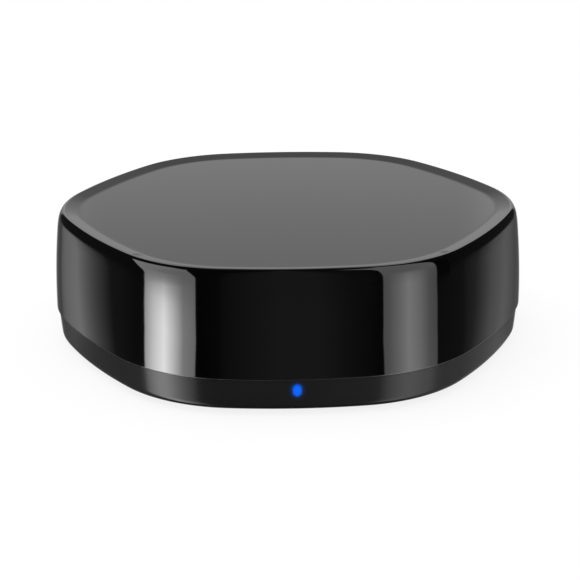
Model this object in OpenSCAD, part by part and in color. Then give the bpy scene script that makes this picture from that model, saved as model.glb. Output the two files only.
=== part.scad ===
// Table-top infrared remote-control hub: a six-sided puck with a glossy dished top shell,
// a satin base shell, a status light at the front, and a socket and reset button at the rear.
// Millimetres. Origin at the middle of the foot's underside, front towards -Y, top towards +Z.

/* [Case] */
// Width across opposite corners, at the widest
across_corners = 66; // [60:1:80]
// Radius of the six curved sides in plan
side_radius = 72; // [60:1:120]
// Radius of the six corners in plan
corner_radius = 20; // [16:0.5:24]
// Height of the case from its underside to the rim
case_h = 18.4; // [17.4:0.1:24]
// Height of the base shell that shows below the seam
band_h = 4.4; // [4.2:0.1:6]
// Thickness of the side walls
shell_t = 2; // [1.6:0.1:2.6]
// Thickness of the top shell's roof
roof_t = 1.8; // [1.2:0.1:2.2]
// Thickness of the base shell's floor
floor_t = 1.5; // [1.2:0.1:1.6]

/* [Rim and walls] */
// Radius of the outer edge of the rim
rim_radius = 1.2; // [0.8:0.05:1.8]
// Depth of the dished top below the rim
dish_depth = 0.5; // [0.3:0.05:0.8]
// Slope of the dish's edge, in degrees
rim_slope = 15; // [10:1:25]
// Radius of the blend at the foot of that slope
dish_blend = 4; // [1:0.1:4.5]
// How much the top shell's wall curves in from the seam to the rim
wall_draft = 0.77; // [0.3:0.01:1.2]
// Setback of the base shell's wall behind the top shell's at the seam
seam_step = 0.25; // [0.1:0.01:0.4]
// How much the base shell's wall leans in from the seam to its lower edge
band_draft = 0.29; // [0.1:0.01:0.6]
// Radius of the base shell's lower edge
base_edge_radius = 1.1; // [0.6:0.05:1.4]

/* [Foot] */
// How far the rubber foot ring stands proud of the base
foot_proud = 0.6; // [0.4:0.05:1]
// Depth of the groove that holds the foot ring
foot_groove = 0.5; // [0.3:0.05:0.6]
// Width of the foot ring
foot_w = 7; // [6:0.1:8]

/* [Screws] */
// Distance of each case screw in from the middle of its side
screw_inset = 8; // [7.6:0.1:9]
// Length of a case screw under its head
screw_l = 8; // [7:0.5:9]
// Radius of a case screw's shank
screw_r = 1; // [0.8:0.05:1.1]
// Radius of a case screw's head
screw_head_r = 1.8; // [1.6:0.05:2]

/* [Electronics] */
// Thickness of the main circuit board
board_t = 1.2; // [1:0.1:1.6]
// Radius of an infrared emitter's lens
emitter_r = 2.5; // [1.5:0.1:2.5]
// Length of an infrared emitter from its back to the tip of its lens
emitter_l = 8.6; // [7:0.1:8.8]
// Distance of the status light and the reset button below the seam
port_drop = 1.5; // [1.4:0.05:1.6]
// Sideways distance of the reset button from the socket
button_x = 9; // [8.5:0.1:10]
// Travel of the reset button
button_travel = 0.25; // [0.15:0.01:0.3]

/* [Hidden] */
$fn = 64;

// Plan of the case: six side arcs that run smoothly into six corner arcs.
side_count = 6;
side_turn = 360/side_count;
front_angle = -90;
side_steps = 4;
corner_steps = 10;
corner_centre = across_corners/2 - corner_radius;
side_centre = sqrt(pow(side_radius - corner_radius, 2)
    - pow(corner_centre*sin(side_turn/2), 2)) - corner_centre*cos(side_turn/2);
side_angle = atan2(corner_centre*sin(side_turn/2), side_centre + corner_centre*cos(side_turn/2));
half_flats = side_radius - side_centre;
half_corners = across_corners/2;

// Overrun of every cut past the face that it opens.
cut = 0.4;

// Levels, from the table up.
base_z = foot_proud;
seam_z = base_z + band_h;
rim_z = base_z + case_h;
floor_z = base_z + floor_t;
dish_z = rim_z - dish_depth;
roof_z = dish_z - roof_t;
wall_top_z = rim_z - rim_radius;
board_z = seam_z;
board_top = board_z + board_t;
port_z = seam_z - port_drop;
groove_z = base_z + foot_groove;
cavity_h = roof_z - board_top;

// Lap joint between the shells: a lip on the base inside a rebate in the top shell.
lap_h = 1.6;
lap_gap = 0.1;
lap_outer_t = shell_t/2;
lip_inset = lap_outer_t + lap_gap;
rebate_z = seam_z + lap_h + lap_gap;

// Inner corners of the shells.
roof_blend = 1.5;
floor_blend = 0.3;
wall_steps = 6;
arc_steps = 7;
blend_steps = 4;

// The dish: a straight slope between the rim's arc and the blend at its foot.
slope_run = (dish_depth - (rim_radius + dish_blend)*(1 - cos(rim_slope)))/sin(rim_slope);
slope_end = rim_radius*sin(rim_slope) + slope_run*cos(rim_slope);
dish_w = slope_end + dish_blend*sin(rim_slope);
crest_inset = wall_draft + rim_radius;

// Case screws.
screw_spot = half_flats - screw_inset;
screw_angles = [30, 150, 210, 330];
screw_head_h = 1.3;
head_side_gap = 0.3;
head_end_gap = 0.2;
screw_hole_gap = 0.15;
thread_gap = 0.03;
screw_seat_z = groove_z + screw_head_h + head_end_gap;
screw_tip_h = 0.7;
screw_tip_share = 0.4;
drive_w = 2;
drive_slot = 0.4;
drive_depth = 0.7;
standoff_t = 1.85;
standoff_r = screw_r + screw_hole_gap + standoff_t;
boss_t = 1.6;
boss_r = screw_r + boss_t;
boss_root = roof_t/2;
boss_hole_gap = 0.8;
boss_hole_top = screw_seat_z + screw_l + boss_hole_gap;
gusset_t = 0.9;
gusset_w = 1.6;
gusset_h = 3.4;

// Main circuit board.
board_gap = 0.4;
board_inset = shell_t + board_gap;
pin_x = 6.5;
pin_inset = 9.2;
pin_spot = half_flats - pin_inset;
pin_r = 0.9;
pin_gap = 0.1;
pin_over = 0.3;
pin_base_r = 1.5;

// Leads of the parts that stand through the board.
lead_w = 0.5;
lead_pitch = 2.54;
lead_tail = 0.8;
lead_hole_r = 0.45;
solder_r = 0.85;
solder_h = 0.6;
solder_top_r = 0.45;

// Infrared emitters: six lie flat and face the corners, one stands up in the middle.
emitter_gap = 0.4;
flange_over = 0.4;
flange_t = 1;
flange_flat = 0.2;
emitter_lift = 0.1;
emitter_tip = half_corners - shell_t - wall_draft - emitter_gap;
emitter_back = emitter_tip - emitter_l;
emitter_z = board_top + emitter_r + flange_over + emitter_lift;
lead_run = 1.5;
lead_spot = emitter_back - lead_run;
up_emitter_y = -4.5;
up_emitter_z = board_top + emitter_lift;
up_emitter_top_gap = 1.8;
up_emitter_l = cavity_h - emitter_lift - up_emitter_top_gap;

// Infrared receiver, behind the front wall.
receiver_w = 6;
receiver_d = 3.6;
receiver_lift = 1.2;
receiver_top_gap = 2.35;
receiver_h = cavity_h - receiver_lift - receiver_top_gap;
receiver_lens_r = 2.4;
receiver_lens_share = 0.62;
receiver_lens_sink = 0.4;
receiver_gap = 0.5;
receiver_front = half_flats - wall_draft - shell_t - receiver_gap - receiver_lens_r + receiver_lens_sink;

// Light pipe: a pill-shaped bar through the front of the base, with a flange inside.
pipe_w = 1.2;
pipe_h = 1.7;
pipe_gap = 0.05;
pipe_flange_over = 0.4;
pipe_flange_t = 0.6;
pipe_bar = 1.4;
pipe_proud = 0.05;
pipe_seat_gap = 0.1;
pipe_front = half_flats - base_inset(port_z) + pipe_proud;
pipe_flange_y = half_flats - shell_t - pipe_seat_gap;
pipe_back = pipe_flange_y - pipe_flange_t - pipe_bar;
cradle_w = 2.6;
cradle_d = 0.8;

// Status light on the board's underside, facing the pipe.
led_w = 3;
led_d = 1.1;
led_h = 2;
led_gap = 0.1;
led_window_w = 1.8;
led_window_h = 1;
led_window_d = 0.15;

// Micro socket on the board's underside, with its mouth in the rear wall.
usb_w = 7.5;
usb_h = 2.6;
usb_d = 5.5;
usb_t = 0.3;
usb_shoulder_h = 1.4;
usb_narrow_w = 5.8;
usb_back_off = 0.9;
usb_notch_gap = 0.3;
usb_mouth = half_flats - usb_back_off;
usb_back = usb_mouth - usb_d;
usb_low_z = board_z - usb_h;
tongue_w = 3.9;
tongue_h = 0.6;
tongue_short = 0.9;
tongue_top_gap = 0.65;
insulator_t = 1.2;
contact_count = 5;
contact_pitch = 0.65;
contact_w = 0.3;
contact_t = 0.12;
contact_short = 0.4;
tab_w = 1;
tab_t = 0.25;
tab_from_back = 1.6;
tab_over = 0.3;
tab_slot_gap = 0.15;

// Reset button: a pill-shaped cap through the rear of the base, kept in by a flange.
button_w = 3.4;
button_h = 1.7;
button_gap = 0.12;
button_flange_w = 4.8;
button_flange_h = 2.5;
button_flange_t = 0.6;
button_proud = button_travel;
button_seat_w = 6.4;
button_seat_t = 0.8;
button_seat_gap = 0.05;

// Side-pressed switch behind the button, on the board's underside.
switch_w = 4.7;
switch_d = 2.4;
switch_h = 2.2;
switch_slot_w = 2;
switch_slot_h = 1.1;
switch_slot_d = 1.6;
switch_front_t = 0.4;
plunger_w = 1.3;
plunger_h = 0.9;
plunger_gap = 0.08;
plunger_rest_gap = 0.65;
plunger_out = button_travel + plunger_rest_gap;
plunger_head_t = 0.3;
cover_t = 0.15;
cover_ear_h = 1;
dome_t = 0.08;
dome_steps = 8;
terminal_w = 0.6;
terminal_t = 0.15;
terminal_out = 0.7;

// Wireless module, flat on the board behind the middle.
module_w = 15;
module_d = 17.3;
module_t = 0.8;
module_rear_gap = 11.5;
module_y = half_flats - module_rear_gap - module_d;
chip_w = 5;
chip_h = 0.9;
flash_w = 3.2;
flash_d = 2.4;
flash_h = 0.7;
crystal_w = 2.5;
crystal_d = 2;
crystal_h = 0.6;
antenna_t = 0.1;
antenna_line = 0.5;
antenna_gap = 0.7;
antenna_turns = 4;
antenna_reach = 4.2;
antenna_margin = 0.6;

// Other board parts.
regulator_w = 6.5;
regulator_d = 3.5;
regulator_h = 1.6;
regulator_x = 13.5;
regulator_y = 1.5;
regulator_tab_w = 3;
regulator_lead_w = 0.7;
regulator_lead_l = 1.6;
regulator_lead_t = 0.25;
regulator_lead_pitch = 2.3;
can_r = 3.15;
can_h = 6.2;
can_base_w = 6.6;
can_base_h = 1.1;
can_base_corner = 1.4;
can_edge = 0.4;
can_x = -13.5;
can_y = 1.5;
transistor_w = 2.9;
transistor_d = 1.3;
transistor_h = 1;
transistor_x = 6;
transistor_y = -12;
transistor_lead_w = 0.4;
transistor_lead_l = 0.6;
transistor_lead_t = 0.15;
transistor_lead_pitch = 0.95;
resistor_l = 3.2;
resistor_w = 1.6;
resistor_h = 0.6;
resistor_spot = 16.5;
resistor_turn = 15;
chip_cap_l = 2;
chip_cap_w = 1.25;
chip_cap_h = 0.9;
diode_l = 4.3;
diode_w = 2.6;
diode_h = 2.1;
diode_x = -9;
diode_back_gap = 2.25;
diode_y = usb_back - diode_back_gap;

// A unit vector at an angle in plan.
function heading(angle) = [cos(angle), sin(angle)];

// Plan of the case, drawn in by an inset, anticlockwise seen from above.
function outline(inset) = [
    for (side = [0:side_count - 1])
        let (
            normal = front_angle + side*side_turn,
            arc_mid = -side_centre*heading(normal),
            corner_mid = corner_centre*heading(normal + side_turn/2)
        )
        each concat(
            [for (i = [0:side_steps - 1])
                arc_mid + (side_radius - inset)*heading(normal + side_angle*(2*i/side_steps - 1))],
            [for (i = [0:corner_steps - 1])
                corner_mid + (corner_radius - inset)
                    *heading(normal + side_angle + (side_turn - 2*side_angle)*i/corner_steps)]
        )
];

// Distance of a front or rear wall's surface from the middle, at a sideways distance x.
function wall_y(x, inset) =
    abs(x) > (side_radius - inset)*sin(side_angle)
        ? corner_centre*cos(side_turn/2) + sqrt(pow(corner_radius - inset, 2)
            - pow(abs(x) - corner_centre*sin(side_turn/2), 2))
        : sqrt(pow(side_radius - inset, 2) - x*x) - side_centre;

// Inset of the top shell's outer wall at a height: upright at the seam, leaning in above.
function wall_inset(z) = wall_draft*pow((z - seam_z)/(wall_top_z - seam_z), 2);

// Inset of the base shell's outer wall at a height above its rounded edge.
function base_inset(z) = seam_step + band_draft*(seam_z - z)/(band_h - base_edge_radius);

// A closed skin through the outlines of a profile of [inset, height] pairs. The profile
// starts with a face that looks down and ends with one that looks up.
module loft(profile) {
    rings = [for (p = profile) outline(p[0])];
    count = len(rings[0]);
    last = len(profile) - 1;
    points = [for (k = [0:last]) each [for (q = rings[k]) [q[0], q[1], profile[k][1]]]];
    walls = [for (k = [0:last - 1], i = [0:count - 1])
        let (j = (i + 1)%count)
        [k*count + i, (k + 1)*count + i, (k + 1)*count + j, k*count + j]];
    lower = [for (i = [0:count - 1]) i];
    upper = [for (i = [count - 1:-1:0]) last*count + i];
    polyhedron(points, concat([lower], walls, [upper]));
}

// A pill, long along X or along Y, in the plane.
module pill(w, h) {
    r = min(w, h)/2;
    square(w > h ? [w - h, h] : [w, h - w], center = true);
    for (side = [-1, 1])
        translate(side*[w/2 - r, h/2 - r]) circle(r);
}

// A drawing in X and Z, given depth along Y between two places.
module along_y(y_from, y_to, x, z) {
    translate([x, y_to, z]) rotate([90, 0, 0]) linear_extrude(y_to - y_from) children();
}

// A box that is centred in X and Y and stands on its own base.
module block(size) {
    translate([-size[0]/2, -size[1]/2, 0]) cube(size);
}

// Case

module top_shell() {
    inner_top_z = roof_z - roof_blend;
    inner = [
        for (i = [0:blend_steps])
            let (t = 90*i/blend_steps)
            [shell_t + wall_inset(inner_top_z) + roof_blend*(1 - sin(t)), inner_top_z + roof_blend*cos(t)],
        for (i = [1:wall_steps])
            let (z = inner_top_z + (rebate_z - inner_top_z)*i/wall_steps)
            [shell_t + wall_inset(z), z],
    ];
    rebate = [[lap_outer_t, rebate_z], [lap_outer_t, seam_z]];
    outer = [
        for (i = [0:wall_steps])
            let (z = seam_z + (wall_top_z - seam_z)*i/wall_steps)
            [wall_inset(z), z],
        for (i = [1:arc_steps])
            let (t = (90 + rim_slope)*i/arc_steps)
            [wall_draft + rim_radius*(1 - cos(t)), wall_top_z + rim_radius*sin(t)],
        for (i = [0:blend_steps])
            let (t = rim_slope*(1 - i/blend_steps))
            [crest_inset + dish_w - dish_blend*sin(t), dish_z + dish_blend*(1 - cos(t))],
    ];
    color("#0b0b0d")
    difference() {
        union() {
            loft(concat(inner, rebate, outer));
            for (angle = screw_angles)
                rotate(angle) translate([screw_spot, 0, 0]) screw_boss();
        }
        for (angle = screw_angles)
            rotate(angle) translate([screw_spot, 0, board_top - cut])
                cylinder(r = screw_r + thread_gap, h = boss_hole_top - board_top + cut);
    }
}

// A boss that hangs from the roof to the board, stiffened by four gussets.
module screw_boss() {
    translate([0, 0, board_top]) cylinder(r = boss_r, h = roof_z + boss_root - board_top);
    translate([0, 0, roof_z - gusset_h]) {
        block([2*(boss_r + gusset_w), gusset_t, gusset_h + boss_root]);
        block([gusset_t, 2*(boss_r + gusset_w), gusset_h + boss_root]);
    }
}

module bottom_shell() {
    edge_inset = base_inset(base_z + base_edge_radius);
    foot_outer = screw_inset - foot_w/2;
    foot_inner = screw_inset + foot_w/2;
    profile = [
        [foot_inner, base_z], [foot_inner, groove_z], [foot_outer, groove_z], [foot_outer, base_z],
        for (i = [0:arc_steps])
            let (t = 90*i/arc_steps)
            [edge_inset + base_edge_radius*(1 - sin(t)), base_z + base_edge_radius*(1 - cos(t))],
        [seam_step, seam_z], [lip_inset, seam_z],
        [lip_inset, seam_z + lap_h], [shell_t, seam_z + lap_h],
        for (i = [0:blend_steps])
            let (t = 90*i/blend_steps)
            [shell_t + floor_blend*(1 - cos(t)), floor_z + floor_blend*(1 - sin(t))],
    ];
    color("#1d1d1f")
    difference() {
        union() {
            loft(profile);
            for (angle = screw_angles)
                rotate(angle) translate([screw_spot, 0, groove_z])
                    cylinder(r = standoff_r, h = board_z - groove_z);
            for (side = [-1, 1])
                translate([side*pin_x, -pin_spot, 0]) board_pin();
            button_seat();
            pipe_cradle();
        }
        for (angle = screw_angles)
            rotate(angle) translate([screw_spot, 0, 0]) {
                translate([0, 0, groove_z - cut])
                    cylinder(r = screw_head_r + head_side_gap, h = screw_seat_z - groove_z + cut);
                translate([0, 0, groove_z])
                    cylinder(r = screw_r + screw_hole_gap, h = board_z - groove_z + cut);
            }
        usb_notch();
        along_y(half_flats - shell_t - button_seat_t - shell_t, half_flats + cut, button_x, port_z)
            pill(button_w + 2*button_gap, button_h + 2*button_gap);
        along_y(-half_flats - cut, -half_flats + 2*shell_t, 0, port_z)
            pill(pipe_w + 2*pipe_gap, pipe_h + 2*pipe_gap);
    }
}

// A stepped pin that carries the board and holds it square.
module board_pin() {
    translate([0, 0, floor_z - floor_t/2]) cylinder(r = pin_base_r, h = board_z - floor_z + floor_t/2);
    translate([0, 0, board_z - pin_over]) cylinder(r = pin_r, h = board_t + 2*pin_over);
}

// A flat pad inside the curved rear wall, for the button's flange to rest on.
module button_seat() {
    face = button_seat_y();
    back = wall_y(button_x + button_seat_w/2, shell_t/2);
    translate([button_x, (face + back)/2, floor_z - floor_t/2])
        block([button_seat_w, back - face, seam_z - floor_z + floor_t/2]);
}

function button_seat_y() = wall_y(button_x + button_seat_w/2, shell_t) - button_seat_t/2;

// A rib that the light pipe's bar lies on.
module pipe_cradle() {
    translate([0, -pipe_back - cradle_d, floor_z - floor_t/2])
        block([cradle_w, cradle_d, port_z - pipe_h/2 - floor_z + floor_t/2]);
}

// The notch for the socket, open at the top of the lip.
module usb_notch() {
    low_z = usb_low_z - usb_notch_gap;
    translate([0, half_flats - shell_t, low_z])
        block([usb_w + 2*usb_notch_gap, 2*(shell_t + cut), seam_z + lap_h + cut - low_z]);
}

module foot_ring() {
    color("#2a2a2b")
    linear_extrude(groove_z)
        difference() {
            polygon(outline(screw_inset - foot_w/2 + lap_gap));
            polygon(outline(screw_inset + foot_w/2 - lap_gap));
        }
}

module case_screws() {
    color("#b9bcc0")
    for (angle = screw_angles)
        rotate(angle) translate([screw_spot, 0, screw_seat_z]) case_screw();
}

// A self-tapping screw, head down, with a cross recess.
module case_screw() {
    difference() {
        union() {
            translate([0, 0, -screw_head_h]) cylinder(r = screw_head_r, h = screw_head_h);
            cylinder(r = screw_r, h = screw_l - screw_tip_h);
            translate([0, 0, screw_l - screw_tip_h])
                cylinder(r1 = screw_r, r2 = screw_tip_share*screw_r, h = screw_tip_h);
        }
        for (turn = [0, 90])
            rotate(turn) translate([0, 0, -screw_head_h - cut])
                block([drive_w, drive_slot, drive_depth + cut]);
    }
}

module light_pipe() {
    color("#2f7bff")
    union() {
        along_y(-pipe_front, -pipe_back, 0, port_z) pill(pipe_w, pipe_h);
        along_y(-pipe_flange_y, -pipe_flange_y + pipe_flange_t, 0, port_z)
            pill(pipe_w + 2*pipe_flange_over, pipe_h + 2*pipe_flange_over);
    }
}

module reset_button() {
    flange_y = button_seat_y() - button_seat_gap;
    color("#202022")
    union() {
        intersection() {
            along_y(flange_y - button_flange_t, half_flats + cut, button_x, port_z) pill(button_w, button_h);
            linear_extrude(seam_z) polygon(outline(seam_step - button_proud));
        }
        along_y(flange_y - button_flange_t, flange_y, button_x, port_z)
            pill(button_flange_w, button_flange_h);
    }
}

// Main board

module main_board() {
    color("#12633a")
    translate([0, 0, board_z])
        linear_extrude(board_t)
            difference() {
                polygon(outline(board_inset));
                for (angle = screw_angles)
                    rotate(angle) translate([screw_spot, 0]) circle(screw_r + screw_hole_gap);
                for (side = [-1, 1])
                    translate([side*pin_x, -pin_spot]) circle(pin_r + pin_gap);
                for (spot = lead_spots) translate(spot) circle(lead_hole_r);
                for (side = [-1, 1])
                    translate([side*(usb_w/2 - tab_t/2), usb_back + tab_from_back])
                        square([tab_t + 2*tab_slot_gap, tab_w + 2*tab_slot_gap], center = true);
            }
}

// Where leads pass through the board: two for each emitter, three for the receiver.
emitter_angles = [for (i = [0:side_count - 1]) i*side_turn];
radial_lead_spots = [
    for (angle = emitter_angles, side = [-1, 1])
        (lead_spot + lead_w/2)*heading(angle) + side*lead_pitch/2*heading(angle + 90)
];
up_lead_spots = [for (side = [-1, 1]) [side*lead_pitch/2, up_emitter_y]];
receiver_lead_spots = [for (i = [-1:1]) [i*lead_pitch, -receiver_front + receiver_d/2]];
lead_spots = concat(radial_lead_spots, up_lead_spots, receiver_lead_spots);

// Infrared emitters

// An emitter of a given length, with its back at the origin and its lens along +Z.
module emitter(length) {
    flange_r = emitter_r + flange_over;
    color("#9aa7c4")
    difference() {
        rotate_extrude()
            polygon(concat(
                [[0, 0], [flange_r, 0], [flange_r, flange_t], [emitter_r, flange_t]],
                [for (i = [0:2*arc_steps])
                    let (t = 90*i/(2*arc_steps))
                    [emitter_r*cos(t), length - emitter_r + emitter_r*sin(t)]]
            ));
        translate([emitter_r + flange_flat, -emitter_r, -cut])
            cube([emitter_r, 2*emitter_r, flange_t + 2*cut]);
    }
}

module radial_emitter(index) {
    rotate(emitter_angles[index - 1]) translate([emitter_back, 0, emitter_z])
        rotate([90, 0, 90]) emitter(emitter_l);
}

module ir_emitter_up() {
    translate([0, up_emitter_y, up_emitter_z]) emitter(up_emitter_l);
}

module emitter_leads() {
    color("#c9ccd0") {
        for (angle = emitter_angles, side = [-1, 1])
            rotate(angle) translate([lead_spot, side*lead_pitch/2 - lead_w/2, 0])
                union() {
                    translate([0, 0, emitter_z - lead_w/2]) cube([lead_run, lead_w, lead_w]);
                    translate([0, 0, board_z - lead_tail])
                        cube([lead_w, lead_w, emitter_z + lead_w/2 - board_z + lead_tail]);
                }
        for (spot = up_lead_spots)
            translate([spot[0], spot[1], board_z - lead_tail])
                block([lead_w, lead_w, up_emitter_z - board_z + lead_tail]);
    }
}

// Infrared receiver

module ir_receiver() {
    low_z = board_top + receiver_lift;
    color("#1a1418")
    union() {
        translate([0, -receiver_front + receiver_d/2, low_z])
            block([receiver_w, receiver_d, receiver_h]);
        translate([0, -receiver_front + receiver_lens_sink, low_z + receiver_lens_share*receiver_h])
            sphere(r = receiver_lens_r);
    }
}

module receiver_leads() {
    color("#c9ccd0")
    for (spot = receiver_lead_spots)
        translate([spot[0], spot[1], board_z - lead_tail])
            block([lead_w, lead_w, board_top + receiver_lift - board_z + lead_tail]);
}

// Socket

// The socket's shape, drawn in by a wall; its wide side is away from the board.
module usb_outline(wall) {
    side = usb_w/2 - wall;
    narrow = usb_narrow_w/2 - wall;
    low = usb_low_z + wall;
    shoulder = usb_low_z + usb_shoulder_h;
    high = board_z - wall;
    polygon([
        [-side, low], [side, low], [side, shoulder],
        [narrow, high], [-narrow, high], [-side, shoulder],
    ]);
}

module usb_socket_shell() {
    color("#c4c7cb")
    union() {
        along_y(usb_back, usb_mouth, 0, 0)
            difference() {
                usb_outline(0);
                usb_outline(usb_t);
            }
        for (side = [-1, 1])
            translate([side*(usb_w/2 - tab_t/2), usb_back + tab_from_back, usb_low_z + usb_shoulder_h/2])
                block([tab_t, tab_w, usb_h - usb_shoulder_h/2 + board_t + tab_over]);
    }
}

module usb_insulator() {
    color("#111113")
    union() {
        along_y(usb_back, usb_back + insulator_t, 0, 0) usb_outline(usb_t + lap_gap/2);
        translate([0, (usb_back + usb_mouth - tongue_short)/2, board_z - usb_t - tongue_top_gap - tongue_h])
            block([tongue_w, usb_d - tongue_short, tongue_h]);
    }
}

module usb_contacts() {
    color("#d8b25a")
    for (i = [0:contact_count - 1])
        translate([
            (i - (contact_count - 1)/2)*contact_pitch,
            (usb_back + insulator_t + usb_mouth - tongue_short - contact_short)/2,
            board_z - usb_t - tongue_top_gap,
        ])
            block([contact_w, usb_d - insulator_t - tongue_short - contact_short, contact_t]);
}

// Reset switch

switch_front = button_seat_y() - button_seat_gap - button_flange_t - plunger_out;
switch_back = switch_front - switch_d;
switch_mid_y = switch_front - switch_d/2;
slot_z = port_z;

module switch_housing() {
    color("#1c1c1e")
    difference() {
        translate([button_x, switch_mid_y, board_z - switch_h]) block([switch_w, switch_d, switch_h]);
        along_y(switch_front - switch_slot_d, switch_front - switch_front_t, button_x, slot_z)
            square([switch_slot_w, switch_slot_h], center = true);
        along_y(switch_front - switch_slot_d, switch_front + cut, button_x, slot_z)
            square([plunger_w + 2*plunger_gap, plunger_h + 2*plunger_gap], center = true);
    }
}

module switch_plunger() {
    head_front = switch_front - switch_front_t - plunger_gap;
    color("#d9d9d6")
    union() {
        along_y(head_front - plunger_head_t, switch_front + plunger_out, button_x, slot_z)
            square([plunger_w, plunger_h], center = true);
        along_y(head_front - plunger_head_t, head_front, button_x, slot_z)
            square([switch_slot_w - 2*plunger_gap, plunger_h], center = true);
    }
}

// A thin bowed strip that springs the plunger back.
module switch_dome() {
    half = switch_slot_w/2 - plunger_gap;
    back = switch_front - switch_slot_d;
    front = switch_front - switch_front_t - 2*plunger_gap - plunger_head_t;
    bow = front - back - dome_t;
    color("#d3d6da")
    translate([button_x, 0, slot_z - plunger_h/2])
        linear_extrude(plunger_h)
            polygon(concat(
                [for (i = [0:dome_steps])
                    let (share = 2*i/dome_steps - 1)
                    [share*half, back + bow*(1 - share*share)]],
                [for (i = [dome_steps:-1:0])
                    let (share = 2*i/dome_steps - 1)
                    [share*half, back + dome_t + bow*(1 - share*share)]]
            ));
}

// A pressed cover under the switch, with an ear down each side.
module switch_cover() {
    color("#c4c7cb")
    translate([button_x, switch_mid_y, board_z - switch_h - cover_t])
        union() {
            block([switch_w + 2*cover_t, switch_d, cover_t]);
            for (side = [-1, 1])
                translate([side*(switch_w + cover_t)/2, 0, 0])
                    block([cover_t, switch_d/2, cover_t + cover_ear_h]);
        }
}

module switch_terminals() {
    color("#c9ccd0")
    for (side = [-1, 1])
        translate([button_x + side*(switch_w + terminal_out)/2, switch_mid_y, board_z - terminal_t])
            block([terminal_out, terminal_w, terminal_t]);
}

// Status light

module status_led() {
    front = -pipe_back + led_gap;
    color("#e8ecf2")
    difference() {
        translate([0, front + led_d/2, board_z - led_h]) block([led_w, led_d, led_h]);
        along_y(front - cut, front + led_window_d, 0, port_z)
            square([led_window_w, led_window_h], center = true);
    }
}

// Wireless module

module wifi_board() {
    color("#16407a")
    translate([0, module_y + module_d/2, board_top]) block([module_w, module_d, module_t]);
}

module wifi_chip() {
    color("#19191b")
    translate([0, module_y + module_d/3, board_top + module_t]) block([chip_w, chip_w, chip_h]);
}

module wifi_flash() {
    color("#19191b")
    translate([-module_w/3, module_y + module_d/3, board_top + module_t]) block([flash_w, flash_d, flash_h]);
}

module wifi_crystal() {
    color("#cfd2d6")
    translate([module_w/3, module_y + module_d/3, board_top + module_t])
        block([crystal_w, crystal_d, crystal_h]);
}

// A folded copper track at the rear end of the module.
module wifi_antenna() {
    pitch = antenna_line + antenna_gap;
    rear = module_y + module_d - antenna_margin;
    left = -module_w/2 + antenna_margin;
    color("#c8813a")
    translate([0, 0, board_top + module_t])
        linear_extrude(antenna_t)
            union() {
                for (i = [0:2*antenna_turns])
                    translate([left + i*pitch, rear - antenna_reach]) square([antenna_line, antenna_reach]);
                for (i = [0:2*antenna_turns - 1])
                    translate([left + i*pitch, i%2 == 0 ? rear - antenna_line : rear - antenna_reach])
                        square([pitch + antenna_line, antenna_line]);
            }
}

// Power and driver parts

module regulator() {
    color("#1a1a1c")
    translate([regulator_x, regulator_y, board_top]) block([regulator_d, regulator_w, regulator_h]);
}

module regulator_leads() {
    color("#c9ccd0")
    translate([regulator_x, regulator_y, board_top]) {
        translate([(regulator_d + regulator_lead_l)/2, 0, 0])
            block([regulator_lead_l, regulator_tab_w, regulator_lead_t]);
        for (i = [-1:1])
            translate([-(regulator_d + regulator_lead_l)/2, i*regulator_lead_pitch, 0])
                block([regulator_lead_l, regulator_lead_w, regulator_lead_t]);
    }
}

module capacitor_can() {
    color("#b7babf")
    translate([can_x, can_y, board_top + can_base_h])
        rotate_extrude()
            polygon([[0, 0], [can_r, 0], [can_r, can_h - can_edge], [can_r - can_edge, can_h], [0, can_h]]);
}

module capacitor_base() {
    half = can_base_w/2;
    color("#161618")
    translate([can_x, can_y, board_top])
        linear_extrude(can_base_h)
            polygon([
                [-half, -half], [half - can_base_corner, -half], [half, -half + can_base_corner],
                [half, half - can_base_corner], [half - can_base_corner, half], [-half, half],
            ]);
}

module driver_transistors() {
    color("#1a1a1c")
    for (i = [-1:1])
        translate([i*transistor_x, transistor_y, board_top])
            block([transistor_w, transistor_d, transistor_h]);
}

module transistor_leads() {
    reach = (transistor_d + transistor_lead_l)/2;
    color("#c9ccd0")
    for (i = [-1:1])
        translate([i*transistor_x, transistor_y, board_top]) {
            translate([0, reach, 0]) block([transistor_lead_w, transistor_lead_l, transistor_lead_t]);
            for (side = [-1, 1])
                translate([side*transistor_lead_pitch, -reach, 0])
                    block([transistor_lead_w, transistor_lead_l, transistor_lead_t]);
        }
}

// One resistor beside each emitter's leads, turned towards the free part of the board.
module emitter_resistors() {
    color("#202226")
    for (angle = emitter_angles)
        rotate(angle + (cos(angle) > 0 ? -resistor_turn : resistor_turn))
            translate([resistor_spot, 0, board_top]) block([resistor_w, resistor_l, resistor_h]);
}

module chip_capacitors() {
    spots = [
        [regulator_x, regulator_y - regulator_w],
        [can_x, can_y - can_base_w],
        [-transistor_x, transistor_y + 3*transistor_d],
        [transistor_x, transistor_y + 3*transistor_d],
        [module_w/2 + chip_cap_l, regulator_y + 2*regulator_lead_pitch],
    ];
    color("#b08a5c")
    for (spot = spots)
        translate([spot[0], spot[1], board_top]) block([chip_cap_l, chip_cap_w, chip_cap_h]);
}

module input_diode() {
    color("#1a1a1c")
    translate([diode_x, diode_y, board_z - diode_h]) block([diode_w, diode_l, diode_h]);
}

// A ring of solder around each lead on the board's underside.
module solder_joints() {
    color("#b4b7bb")
    for (spot = lead_spots)
        translate([spot[0], spot[1], board_z - solder_h])
            difference() {
                cylinder(r1 = solder_top_r, r2 = solder_r, h = solder_h);
                translate([0, 0, -cut]) cylinder(r = lead_hole_r - lap_gap/2, h = solder_h + 2*cut);
            }
}

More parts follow.
